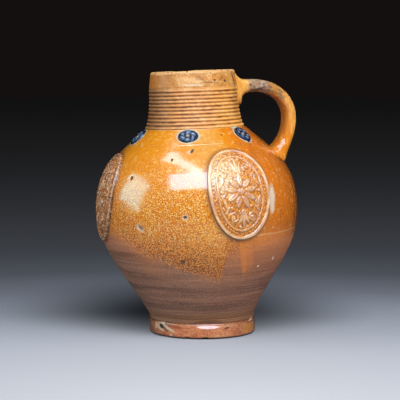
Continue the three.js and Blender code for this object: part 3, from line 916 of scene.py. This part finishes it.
def handleMaterial():
    tint = tints(handleFinish)
    material, shader, place, along, face = newMaterial("strapGlaze", "along", "face")
    broad = noise(place, 60.0, 3.0)
    fine = noise(place, 420.0, 4.0, 0.65)
    streaks = drawnNoise(place, 300.0, 60.0, 3.0)
    grain = grainAt(place, glazeGrain, 0.6)
    brow = ramp(along, 0.16, 0.24) * ramp(along, 0.56, 0.44)
    colour = coated(tint["amber"], tint, [
        ("deep", broad, 0.4, 0.65),
        # paler on the outer face of the strap: partly pale glaze, partly painted highlight
        ("pale", face, 0.2, 0.8, 0.6),
        ("low", along, 0.6, 0.8),
        ("bead", streaks, 0.52, 0.64, 0.45),
        ("deep", streaks, 0.47, 0.36, 0.5),
        # browner on the under face of the strap: brown streaks and painted shade
        ("brown", face, -0.3, -0.9, 0.3),
        ("deep", grain.speck, 0.5, 0.62, 0.45),
        ("bead", grain.bead * 0.2),
        ("brown", brow * ramp(fine, 0.52, 0.62, 0.0, 0.6)),
        ("ash", brow * ramp(fine, 0.46, 0.36, 0.0, 0.4)),
    ])
    for centre, width, height, turn, name, strength in strapFlaws:
        mask = patchAt(place, centre, 270.0, width, height, 0.2, 0.25, turn)
        colour = mix(mask * strength, colour, tint[name])
        if name == "scar":
            dull = mask
    colour = coated(colour, tint, [
        ("ash", dull * ramp(noise(place, 190.0, 3.0, 0.6), 0.46, 0.58, 0.0, 0.5)),
        ("crack", dull * ramp(fine, 0.55, 0.64)),
    ])
    dress(shader, {
        "Base Color": colour, "Roughness": ramp(dull, 0.0, 1.0, 0.42, 0.62), "Specular IOR Level": 0.15,
        "Coat Weight": ramp(dull, 0.0, 1.0, 0.8, 0.0), "Coat Roughness": 0.06, "Coat IOR": 1.8})
    bump(shader, grain.height * 0.5 + fine * ramp(dull, 0.0, 1.0, 1.0, 5.0), 0.00014)
    return material


# medallions: moulded ovals with two ridges, beads between them and leafwork about a flower
medallionShape = {
    "width": 60.5, "height": 85, "plaque": 1.0, "sunk": -0.5,
    "bearings": [80, 179, 279], "gaps": [13.1, 14.6, 11.6], "tones": [0.3, 0.6, 0.0],
    "ridgeStart": 0.15, "ridgeHeight": 2.1, "ridgeWidth": 3.4,
    "innerInset": 7.2, "innerHeight": 1.8, "innerWidth": 2.2, "beads": 60, "beadRadius": 1.15,
    "petals": 9, "flowerWidth": 30, "stipple": 420, "foliage": 150, "fieldWidth": 21, "fieldHeight": 33,
    "grid": 200, "seed": 11, "backRows": [0.8, 0.55, 0.3], "ovalSteps": 240, "beadTwist": 0.6,
    "beadLeast": (0.7, 1.05, 0.55), "beadMost": (0.95, 1.4, 0.85),
}
swayWaves = [(0.3, 3, 1), (0.2, 8, 2), (0.12, 19, 0)]  # size, waves round the edge, shift by order
strokeSteps = {"leaf": 22, "scroll": 46, "petal": 16}

# what stands on the right half of a medallion and is mirrored on the left, in millimetres from its middle
sideScrolls = [(9.6, 22.2, 5.2, -1.35), (9.2, -22.6, 5.0, 1.3)]  # middle, radius, turns
sideLeaves = [  # start, end, bow, width, height
    ((2.2, 16.2), (5.2, 27.6), 0.25, 2.8, 1.1), ((2.0, -16.4), (5.6, -28.0), -0.25, 2.8, 1.1),
    ((15.2, 14.5), (19.2, 4.0), -0.15, 2.8, 1.0), ((15.2, -14.5), (19.2, -4.0), 0.15, 2.8, 1.0),
    ((12.6, 12.6), (17.4, 18.6), 0.1, 2.4, 1.0), ((12.6, -12.6), (17.2, -18.8), -0.1, 2.4, 1.0),
]
sideBuds = [  # middle, radius
    (17.9, 0, 1.7), (9.6, 22.2, 1.6), (9.2, -22.6, 1.6), (14.2, 25.4, 1.3), (13.6, -26.2, 1.3),
    (3.4, 30.2, 1.3), (3.2, -30.4, 1.3),
]


class Relief:  # heights over a flat oval, raised by domes
    def __init__(self, u, v):
        self.u = u
        self.v = v
        self.field = np.zeros_like(u)

    def dome(self, cu, cv, radius, height):
        near = (np.abs(self.u - cu) < radius) & (np.abs(self.v - cv) < radius)
        reach = ((self.u[near] - cu) ** 2 + (self.v[near] - cv) ** 2) / radius ** 2
        self.field[near] = np.maximum(self.field[near], height * np.sqrt(np.clip(1 - reach, 0, 1)))

    def stroke(self, line, widths, height):
        for (cu, cv), radius in zip(line, widths):
            self.dome(cu, cv, radius, height)

    def leaf(self, start, end, bow, width, height):
        start, end = np.array(start, float), np.array(end, float)
        across = np.array([start[1] - end[1], end[0] - start[0]]) * bow
        count = strokeSteps["leaf"]
        line = bezier([start, (start + end) / 2 + across, end], count)
        share = np.linspace(0, 1, count)
        self.stroke(line, 0.35 + width / 2 * np.sin(np.pi * share ** 0.8), height)

    def scroll(self, cu, cv, radius, start, turns):
        count = strokeSteps["scroll"]
        turn = np.radians(start) + np.linspace(0, turns, count) * 2 * math.pi
        size = np.linspace(radius, 1.0, count)
        line = np.stack([cu + size * np.cos(turn), cv + size * np.sin(turn)], 1)
        self.stroke(line, np.linspace(1.1, 0.7, count), 1.1)

    def petal(self, turn, half):
        count = strokeSteps["petal"]
        run = np.linspace(0.36, 0.9, count) * half
        line = np.stack([run * math.cos(turn), run * math.sin(turn)], 1)
        self.stroke(line, 0.6 + 2.3 * np.sin(np.pi * np.linspace(0.12, 0.86, count)), 1.2)
        vein = np.abs(self.u * math.sin(turn) - self.v * math.cos(turn)) < 0.35
        ahead = (self.u * math.cos(turn) + self.v * math.sin(turn)) / half
        self.field[vein & (ahead > 0.4) & (ahead < 0.8)] *= 0.65


def leafwork(u, v, rng):
    shape = SimpleNamespace(**medallionShape)
    relief = Relief(u, v)

    def anywhere():
        across = rng.uniform(-shape.fieldWidth, shape.fieldWidth)
        return across, rng.uniform(-shape.fieldHeight, shape.fieldHeight)

    for _ in range(shape.stipple):  # stippled ground
        relief.dome(*anywhere(), rng.uniform(0.45, 0.9), rng.uniform(0.2, 0.5))
    for _ in range(shape.foliage):  # loose foliage between the larger motifs
        (cu, cv), turn = anywhere(), rng.uniform(0, 2 * math.pi)
        if math.hypot(cu, cv) > 14:
            size = rng.uniform(2.2, 4.4)
            tip = (cu + size * math.cos(turn), cv + size * math.sin(turn))
            relief.leaf((cu, cv), tip, rng.uniform(-0.4, 0.4), rng.uniform(1.3, 2.2), rng.uniform(0.5, 0.9))
    for side in (-1, 1):
        for cu, cv, radius, turns in sideScrolls:
            relief.scroll(side * cu, cv, radius, 90 - side * 90, side * turns)
        for (startU, startV), (endU, endV), bow, width, height in sideLeaves:
            relief.leaf((side * startU, startV), (side * endU, endV), side * bow, width, height)
        for cu, cv, radius in sideBuds:
            relief.dome(side * cu, cv, radius, 1.2)
    relief.leaf((0, 15.6), (0, 31.8), 0.0, 3.6, 1.2)
    relief.leaf((0, -15.6), (0, -31.6), 0.0, 3.6, 1.2)
    for petal in range(shape.petals):
        relief.petal(math.radians(90 + 360 * petal / shape.petals), shape.flowerWidth / 2)
    relief.dome(0, 0, 3.5, 1.3)
    return relief.field


def discGrid(count):  # a square grid drawn into a round one: places, faces and the points on its edge
    line = np.linspace(-1, 1, count)
    x, y = (part.ravel() for part in np.meshgrid(line, line))
    flatX, flatY = x * np.sqrt(1 - y * y / 2), y * np.sqrt(1 - x * x / 2)
    index = np.arange(count * count).reshape(count, count)
    quads = np.stack([index[:-1, :-1], index[:-1, 1:], index[1:, 1:], index[1:, :-1]], -1).reshape(-1, 4)
    rim = np.concatenate([index[0, :-1], index[:-1, -1], index[-1, :0:-1], index[:0:-1, 0]])
    return flatX, flatY, quads, rim


def beadRowTree():
    tree, given = newTree(
        "beadRow", float="halfWidth halfHeight bead level", int="count seed", material="material")
    shape = SimpleNamespace(**medallionShape)
    wires = {"Resolution": shape.ovalSteps, "Radius": 1.0}
    ring = put(tree, "GeometryNodeCurvePrimitiveCircle", wires, "Curve")
    place = put(tree, "GeometryNodeInputPosition")
    oval = moved(ring, vectorCalc("MULTIPLY", place, join(given.halfWidth, given.halfHeight, 1.0)))
    row = put(tree, "GeometryNodeResampleCurve", {"Curve": oval, "Count": given.count})
    tangent = put(tree, "GeometryNodeInputTangent")
    heading = put(tree, "FunctionNodeAlignRotationToVector", {"Vector": tangent}, axis="X", pivot_axis="Z")
    wires = {"Rotation": heading, "Rotate By": (0.0, 0.0, shape.beadTwist)}
    twist = put(tree, "FunctionNodeRotateRotation", wires, rotation_space="LOCAL")
    bead = put(tree, "GeometryNodeMeshIcoSphere", {"Radius": given.bead, "Subdivisions": 2}, "Mesh")
    wires = {"Min": shape.beadLeast, "Max": shape.beadMost, "Seed": given.seed}
    size = put(tree, "FunctionNodeRandomValue", wires, "Value", data_type="FLOAT_VECTOR")
    wires = {"Points": row, "Instance": bead, "Rotation": twist, "Scale": size}
    beads = put(tree, "GeometryNodeInstanceOnPoints", wires)
    wires = {"Instances": beads, "Translation": join(0.0, 0.0, given.level)}
    return endTree(put(tree, "GeometryNodeTranslateInstances", wires), given.material)


def ringFaces(before, after):  # quads between two closed rows of points
    rows = zip(before, np.roll(before, -1), np.roll(after, -1), after)
    return [(int(a), int(d), int(c), int(b)) for a, b, c, d in rows]


def medallionFront(order):  # places on the flat, height, inset, relief for the glaze, faces and edge
    shape = SimpleNamespace(**medallionShape)
    halfWidth, halfHeight = shape.width / 2, shape.height / 2
    x, y, quads, rim = discGrid(shape.grid)
    u, v = x * halfWidth, y * halfHeight
    turn = np.arctan2(y, x)
    inset = (1 - np.hypot(x, y)) * np.hypot(halfWidth * np.cos(turn), halfHeight * np.sin(turn)) * 0.97
    sway = sum(size * np.sin(waves * turn + shift * order) for size, waves, shift in swayWaves)
    wavy = inset + sway * smoothStep(inset, 0.0, 2.0)  # pressed by hand, so the ridges run unevenly

    def ridge(start, width, height):
        across = (wavy - start - width / 2) / (width / 2)
        return (height - shape.plaque) * np.sqrt(np.clip(1 - across ** 2, 0, 1))

    worn = 0.86 + 0.1 * np.sin(u * 0.21 + order) * np.cos(v * 0.17 - order)
    worn += 0.04 * np.sin(v * 0.6 + u * 0.4)
    lift = shape.plaque * smoothStep(inset, 0.0, 1.0) + shape.sunk * (1 - smoothStep(inset, 0.0, 0.9))
    crest = np.maximum(ridge(shape.ridgeStart, shape.ridgeWidth, shape.ridgeHeight),
                       ridge(shape.innerInset, shape.innerWidth, shape.innerHeight))
    fieldEdge = shape.innerInset + shape.innerWidth
    field = leafwork(u, v, np.random.default_rng(shape.seed + order)) * worn
    field *= smoothStep(inset, fieldEdge - 0.4, fieldEdge + 0.8)
    ground = 0.12 * np.sin(u * 1.7 + 2 * np.sin(v * 0.9)) * np.sin(v * 1.3 + order)
    lift += np.maximum(crest * (0.9 + 0.1 * worn), field) + ground * smoothStep(inset, 3.6, 4.6)
    relief = np.clip(np.maximum(crest, field) / 1.1, 0, 1)
    return SimpleNamespace(u=u, v=v, lift=lift, inset=inset, relief=relief, quads=quads, rim=rim)


def makeMedallion(name, order, material, beadTree):
    shape = SimpleNamespace(**medallionShape)
    bearing = shape.bearings[order]
    run = medallionMiddle(order)
    front = medallionFront(order)
    rim = front.rim
    skins = [overWall(run + front.v, bearing, front.u, front.lift)]
    faces = [tuple(quad) for quad in front.quads]
    start = len(front.u)
    previous = rim
    for part in shape.backRows:  # the back follows the wall
        sunk = np.full(len(rim), shape.sunk)
        skins.append(overWall(run + front.v[rim] * part, bearing, front.u[rim] * part, sunk))
        now = np.arange(start, start + len(rim))
        faces += ringFaces(previous, now)
        start += len(rim)
        previous = now
    skins.append(overWall(np.array([run]), bearing, np.array([0.0]), np.array([shape.sunk])))
    faces += [(int(a), int(start), int(b)) for a, b in zip(previous, np.roll(previous, -1))]

    beadInset = (shape.innerInset + shape.ridgeWidth) / 2
    beads = grow(name + "Beads", beadTree, {
        "halfWidth": shape.width / 2 - beadInset, "halfHeight": shape.height / 2 - beadInset,
        "count": shape.beads, "bead": shape.beadRadius, "level": shape.plaque, "seed": shape.seed + order,
        "material": material})
    around, up, lift = pointsOf(beads.data).T
    start += 1
    skins.append(overWall(run + up, bearing, around, lift))
    faces += [tuple(int(start + corner) for corner in face.vertices) for face in beads.data.polygons]
    bpy.data.objects.remove(beads)

    points = np.vstack(skins)
    mesh = bpy.data.meshes.new(name)
    mesh.from_pydata(leaned(points), [], faces)
    mesh.polygons.foreach_set("use_smooth", np.ones(len(mesh.polygons), bool))
    mesh.materials.append(material)
    back = np.zeros(start - len(front.u))
    beadRelief = np.clip((lift - shape.plaque) / shape.beadRadius, 0, 1) * 0.7
    writeValue(mesh, "relief", np.concatenate([front.relief, back, beadRelief]))
    writeValue(mesh, "inset", np.concatenate([front.inset, back, np.full(len(lift), beadInset)]))
    writeValue(mesh, "tone", np.full(len(points), shape.tones[order]))
    faceOutwards(mesh)
    print(name, "faces", len(mesh.polygons))
    return show(name, mesh)


reliefFinish = {
    "ground": (248, 160, 50), "deep": (180, 104, 46), "pale": (248, 208, 156), "pink": (206, 162, 140),
    "ridge": (240, 210, 178), "shade": (120, 74, 44), "dim": (172, 130, 90), "soot": (62, 42, 30),
    "ashen": (214, 176, 134), "paintedGlare": (255, 226, 168),
}
medallionGlare = (268.0, 153.0, 13.0, 17.0)  # painted highlight, the key softbox's glare over the upper left of the medallion at bearing 279: bearing, level, half width, half height


def reliefMaterial():
    tint = tints(reliefFinish)
    material, shader, place, relief, inset, tone = newMaterial("reliefGlaze", "relief", "inset", "tone")
    broad = noise(place, 85.0, 3.0)
    fine = noise(place, 420.0, 3.0, 0.6)
    grit = noise(place, 560.0, 2.0, 0.6)
    grain = grainAt(place, 700.0, 0.5)
    lit = relief + (fine - 0.5) * 1.3
    top = mix(ramp(broad, 0.42, 0.58), tint["pale"], tint["pink"])
    high = split(place)[2]
    onRidge = ramp(inset, 3.6, 3.0) * ramp(lit, 0.55, 1.1) * ramp(high, 0.165, 0.12, 0.5, 1.0)
    bearing, level, width, height = medallionGlare
    paintedGlare = patchAt(place, wallSpot(bearing, level), bearing, width, height, 0.08, 0.7)
    colour = coated(tint["ground"], tint, [
        ("deep", fine, 0.42, 0.62),
        ("shade", grain.net * 0.35),
        (top, ramp(lit, 0.3, 1.05, 0.0, 0.8, smooth=True)),
        ("ridge", onRidge * ramp(broad + fine * 0.5, 0.58, 0.86, 0.95, 0.15)),
        # painted highlight: the pale glare patch on the medallion
        ("paintedGlare", paintedGlare * ramp(fine, 0.6, 0.4, 0.2, 0.65)),
        ("shade", inset, 0.9, 0.2, 0.85),
    ])
    dimmed = mix(1.0, colour, tint["dim"], "MULTIPLY")
    colour = coated(colour, tint, [
        (dimmed, tone * 0.75),
        ("soot", tone * ramp(grit, 0.5, 0.6)),
        ("ashen", tone * ramp(grit, 0.48, 0.38)),
    ])
    dress(shader, {
        "Base Color": colour, "Roughness": ramp(fine, 0.3, 0.7, 0.22, 0.4), "Specular IOR Level": 0.6,
        "Coat Weight": ramp(tone, 0.0, 0.6, 1.0, 0.4), "Coat Roughness": 0.18, "Coat IOR": 1.7})
    bump(shader, fine + grain.height * 0.5, 0.00018)
    return material


# rosettes: stamped ovals whose petals follow a rule
rosetteShape = {
    "width": 19.5, "height": 16.4, "bearings": [67, 125, 181, 247, 306.5], "upright": [2, 4], "gap": 0.5,
    "edge": 0.9, "relief": 1.0, "petals": 6, "swirl": 0.9, "grid": 72, "sunk": -0.45, "petalFoot": 0.26,
    "petalTip": 0.8, "petalPower": 0.7, "boss": 0.2, "ring": 0.86, "ringWidth": 0.06, "ringHeight": 0.45,
}


def rosetteTree():
    tree, given = newTree(
        "stampedRosette", material="material", int="petals grid",
        float="halfWidth halfHeight edge relief swirl sunk petalFoot petalTip petalPower "
              "boss ring ringWidth ringHeight")
    squareX, squareY, _ = split(put(tree, "GeometryNodeInputPosition"))

    def rounded(main, other):
        return main * calc("SQRT", 1.0 - other * other * 0.5)

    def hump(off):
        return calc("MAXIMUM", 1.0 - off * off, 0.0)

    def sheet(height, relief, reach):
        wires = {"Size X": 2.0, "Size Y": 2.0, "Vertices X": given.grid, "Vertices Y": given.grid}
        flat = keep(put(tree, "GeometryNodeMeshGrid", wires, "Mesh"), "relief", relief)
        place = join(x * given.halfWidth, y * given.halfHeight, height)
        return moved(keep(flat, "reach", reach), place)

    x, y = rounded(squareX, squareY), rounded(squareY, squareX)
    reach = calc("SQRT", x * x + y * y)
    turn = calc("ARCTAN2", y, x) + reach * given.swirl
    wave = calc("ABSOLUTE", calc("COSINE", turn * (given.petals * 0.5)))
    along = ramp(reach, given.petalFoot, given.petalTip)
    petals = calc("POWER", wave, given.petalPower) * calc("SINE", along * math.pi)
    boss = calc("SQRT", hump(reach / given.boss))
    ring = hump((reach - given.ring) / given.ringWidth) * given.ringHeight
    stamped = calc("MAXIMUM", calc("MAXIMUM", petals, boss), ring)
    base = ramp(reach, 1.0, 0.9, given.sunk, given.edge, smooth=True)
    front = sheet(base + stamped * given.relief, stamped, reach)
    back = put(tree, "GeometryNodeFlipFaces", {"Mesh": sheet(given.sunk, 0.0, 1.0)})
    both = tree.nodes.new("GeometryNodeJoinGeometry")
    wire(front, both.inputs[0])
    wire(back, both.inputs[0])
    return endTree(merged(Flow(tree, both.outputs[0]), 0.002), given.material)


def makeRosette(name, order, material, tree):
    width, height = rosetteSize(order)
    swirl = rosetteShape["swirl"] * (1 if order % 2 else -1)
    piece = grow(name, tree, {
        **rosetteShape, "halfWidth": width / 2, "halfHeight": height / 2, "swirl": swirl,
        "material": material})
    around, up, lift = pointsOf(piece.data).T
    points = overWall(rosetteMiddle(order) + up, rosetteShape["bearings"][order], around, lift)
    movePoints(piece.data, leaned(points))
    faceOutwards(piece.data)
    print(name, "faces", len(piece.data.polygons))
    return piece


cobaltFinish = {
    "blue": (56, 80, 124), "dark": (12, 16, 38), "light": (152, 158, 152), "halo": (150, 164, 160),
    "bare": (164, 156, 120),
}


def cobaltMaterial():
    tint = tints(cobaltFinish)
    material, shader, place, relief, reach = newMaterial("cobaltGlaze", "relief", "reach")
    fine = noise(place, 520.0, 3.0, 0.6)
    wander = (noise(place, 220.0, 2.0) - 0.5) * 0.3
    lit = relief + (fine - 0.5) * 0.9
    colour = coated(tint["dark"], tint, [
        ("blue", lit, 0.15, 0.65),
        ("light", lit, 0.65, 1.0, 0.8),
        ("bare", reach, 0.25, 0.1, 0.7),
        ("halo", reach + wander, 0.94, 1.02, 0.7),
    ])
    dress(shader, {
        "Base Color": colour, "Roughness": ramp(fine, 0.3, 0.7, 0.14, 0.28), "Coat Weight": 0.4,
        "Coat Roughness": 0.1, "Specular IOR Level": 0.5})
    bump(shader, fine, 0.00015)
    return material


# put the pieces on the frame
def settle(piece, node):
    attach(piece, "root")
    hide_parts(node)


settle(makeBody(bodyMaterial()), "body")
settle(makeHandle(handleMaterial()), "handle")
reliefGlaze = reliefMaterial()
beadRow = beadRowTree()
for order in range(3):
    medallion = makeMedallion(f"jugMedallion{order + 1}", order, reliefGlaze, beadRow)
    settle(medallion, f"medallion_{order + 1}")
cobaltGlaze = cobaltMaterial()
stampedRosette = rosetteTree()
for order in range(5):
    rosette = makeRosette(f"jugRosette{order + 1}", order, cobaltGlaze, stampedRosette)
    settle(rosette, f"rosette_{order + 1}")
print("pieces on the frame")


# studio: a pale floor painted with a pool of light that falls away into the dark, softboxes that light the
# jug and others mirrored in it
studio = {
    "floorRadius": 16.0, "floorSides": 96, "pool": 0.35, "aim": (0.0, 0.0, 0.12), "fill": 0.12,
    "fillTint": (0.9, 0.95, 1.0, 1.0), "backdrop": (20, 16, 15), "mirrored": 0.3,
    "shadowSide": -0.02, "shadowWidth": 0.2, "shadowMiddle": 0.12, "shadowBack": 0.29, "shadowFront": -0.15,
}
floorTones = [  # metres from the middle of the painted pool of light, colour of the paper there with that light painted in
    (0.0, (0.535, 0.558, 0.612)), (0.15, (0.478, 0.501, 0.552)), (0.26, (0.438, 0.467, 0.527)),
    (0.35, (0.402, 0.44, 0.508)), (0.45, (0.336, 0.372, 0.436)), (0.54, (0.258, 0.288, 0.346)),
    (0.63, (0.174, 0.194, 0.236)), (0.78, (0.106, 0.118, 0.142)), (0.99, (0.084, 0.09, 0.106)),
    (1.85, (0.092, 0.095, 0.107)), (3.75, (0.086, 0.083, 0.085)), (10.0, (0.057, 0.05, 0.048)),
]
white = (1.0, 1.0, 1.0)

# name, azimuth from the camera, elevation, distance, width, height, roll, brightness, tint, use
softboxes = [
    ("key", 3.0, 43.0, 1.15, 1.40, 0.58, -4.0, 5.1, white, "wash"),
    ("glint", 3.0, 43.0, 1.16, 1.40, 0.58, -4.0, 6.5, (0.48, 0.76, 1.06), "shine"),
    ("standing", -80.5, 18.0, 1.20, 0.70, 0.66, -10.0, 2.9, (0.32, 0.98, 1.08), "shine"),
    ("overhead", -38.3, 69.0, 1.08, 0.85, 0.20, -18.0, 4.8, (0.72, 1.0, 1.2), "shine"),
    ("east", 60.0, 35.0, 1.30, 0.90, 0.80, 0.0, 3.2, white, "wash"),
    ("west", -80.0, 25.0, 1.30, 0.70, 0.70, 0.0, 3.0, white, "wash"),
    ("crown", -45.0, 67.0, 1.08, 0.95, 0.32, 0.0, 1.8, white, "wash"),
]


def floorPaper():
    material, shader, place = newMaterial("floorPaper")
    tree = material.node_tree
    pool = (math.sin(azimuth) * studio["pool"], -math.cos(azimuth) * studio["pool"], 0.0)
    away = vectorCalc("LENGTH", vectorCalc("SUBTRACT", place, pool))
    furthest = floorTones[-1][0]
    fade = tree.nodes.new("ShaderNodeValToRGB")
    wire(ramp(away, 0.0, furthest), fade.inputs["Fac"])
    stops = fade.color_ramp.elements
    for distance, tone in floorTones[1:-1]:
        stops.new(distance / furthest).color = (*tone, 1.0)
    stops[0].color = (*floorTones[0][1], 1.0)
    stops[-1].color = (*floorTones[-1][1], 1.0)

    # painted shadow of the jug: dim paper behind it
    x, y, _ = split(turned(place, -azimuth, "Z"))
    across = (x - studio["shadowSide"]) / studio["shadowWidth"]
    behind = y - studio["shadowMiddle"]
    deep = calc("MAXIMUM", behind / studio["shadowBack"], behind / studio["shadowFront"])
    dim = ramp(vectorCalc("LENGTH", join(across, deep)), 0.1, 1.05, 0.08, 1.0, smooth=True)
    glossy = put(tree, "ShaderNodeLightPath", out="Is Glossy Ray")
    dim = dim * ramp(glossy, 0.0, 1.0, 1.0, studio["mirrored"])
    wires = {0: Flow(tree, fade.outputs["Color"]), "Scale": dim}
    shade = put(tree, "ShaderNodeVectorMath", wires, operation="SCALE")
    dress(shader, {"Base Color": shade, "Roughness": 0.9, "Specular IOR Level": 0.0})
    return material


def makeFloor():
    sides, radius = studio["floorSides"], studio["floorRadius"]
    turns = np.linspace(0, 2 * math.pi, sides, endpoint=False)
    mesh = bpy.data.meshes.new("floor")
    edge = [(radius * math.cos(turn), radius * math.sin(turn), 0) for turn in turns]
    mesh.from_pydata(edge, [], [tuple(range(sides))])
    mesh.materials.append(floorPaper())
    floor = show("floor", mesh)


def addSoftbox(name, turn, elevation, distance, width, height, roll, brightness, tint, use):
    lamp = bpy.data.lights.new(name, "AREA")
    lamp.shape = "RECTANGLE"
    lamp.size = width
    lamp.size_y = height
    lamp.energy = brightness * math.pi * width * height
    lamp.color = tint
    box = show(name, lamp)
    around = math.radians(cameraPlace["azimuth"] + turn)
    up = math.radians(elevation)
    away = np.array([math.sin(around) * math.cos(up), -math.cos(around) * math.cos(up), math.sin(up)])
    box.location = np.array(studio["aim"]) + away * distance
    aimed = Euler((math.pi / 2 - up, 0, around)).to_matrix() @ Matrix.Rotation(math.radians(roll), 3, "Z")
    box.rotation_euler = aimed.to_euler()
    box.visible_camera = False
    box.visible_glossy = use == "shine"  # a wash lamp isn't mirrored in the glaze
    box.visible_diffuse = use == "wash"  # and a shine lamp is only mirrored


def makeWorld():
    world = bpy.data.worlds.new("studio")
    world.use_nodes = True
    path = put(world.node_tree, "ShaderNodeLightPath", out=None)
    seen = calc("MAXIMUM", path["Is Camera Ray"], path["Is Glossy Ray"])
    dress(world.node_tree.nodes["Background"], {
        "Color": mix(seen, studio["fillTint"], paint(*studio["backdrop"])),
        "Strength": ramp(seen, 0.0, 1.0, studio["fill"], 1.0)})
    scene.world = world


makeFloor()
for softbox in softboxes:
    addSoftbox(*softbox)
makeWorld()
print("studio ready")
